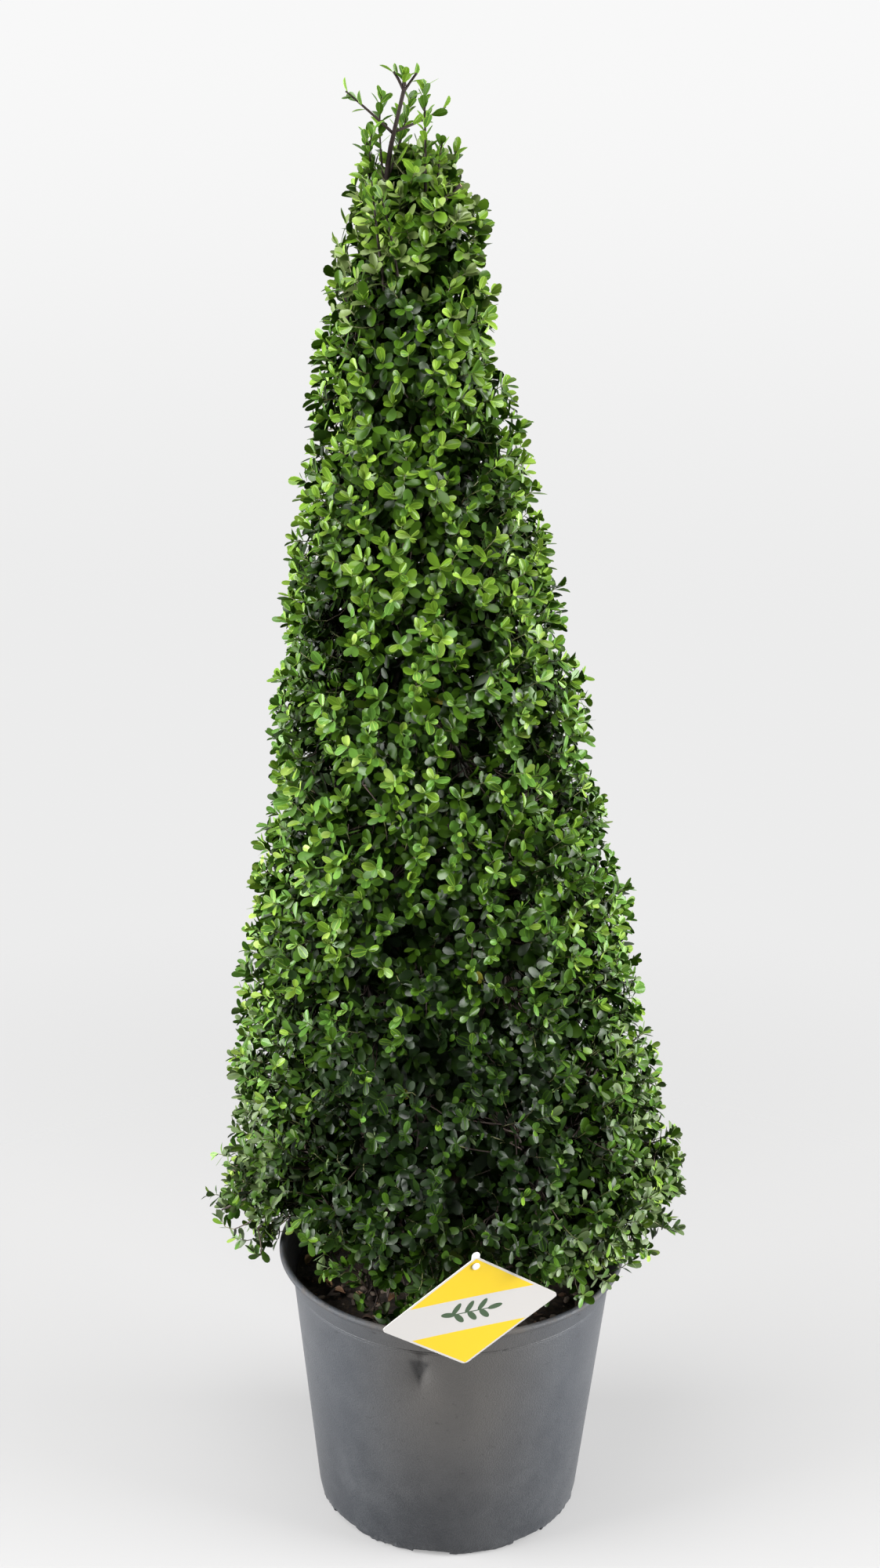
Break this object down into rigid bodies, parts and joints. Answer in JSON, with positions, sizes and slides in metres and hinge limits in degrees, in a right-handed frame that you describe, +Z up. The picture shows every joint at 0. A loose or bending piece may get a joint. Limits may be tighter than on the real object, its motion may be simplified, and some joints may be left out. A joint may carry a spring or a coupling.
{
  "type": "potted japanese holly",
  "caption": "Evergreen shrub clipped to a tall cone, growing in a round tapered nursery pot, with a diamond label clipped to the rim.",
  "frame": {"origin": "centre of the pot's flat underside", "axes": "+Z up along the pot's axis, -Y towards the front of the plant, where the label hangs, +X to the right as seen from the front"},
  "size_m": [0.5685, 0.5316, 1.6165],
  "materials": {
    "pot": "satin charcoal plastic, dusty on the lip",
    "soil": "moist dark potting mix with bark and dead leaves",
    "bark": "grey-brown bark, fissured at the foot",
    "foliage": "glossy small evergreen leaves",
    "label": "printed plastic card, semi-gloss",
    "clip": "white moulded plastic"
  },
  "bodies": {
    "root": {"pot": "pot", "soil": "soil", "trunk": "bark", "bough_skirt_1": "bark", "foliage_skirt_1": "foliage", "bough_skirt_2": "bark", "foliage_skirt_2": "foliage", "bough_skirt_3": "bark", "foliage_skirt_3": "foliage", "bough_skirt_4": "bark", "foliage_skirt_4": "foliage", "bough_lower_1": "bark", "foliage_lower_1": "foliage", "bough_lower_2": "bark", "foliage_lower_2": "foliage", "bough_lower_3": "bark", "foliage_lower_3": "foliage", "bough_upper_1": "bark", "foliage_upper_1": "foliage", "bough_upper_2": "bark", "foliage_upper_2": "foliage", "bough_upper_3": "bark", "foliage_upper_3": "foliage", "bough_shoulder_1": "bark", "foliage_shoulder_1": "foliage", "bough_shoulder_2": "bark", "foliage_shoulder_2": "foliage", "bough_shoulder_3": "bark", "foliage_shoulder_3": "foliage", "shoot_left": "foliage", "shoot_right": "foliage", "shoot_leader_tuft": "foliage", "label_card": "label", "label_clip": "clip"}
  },
  "joints": []
}
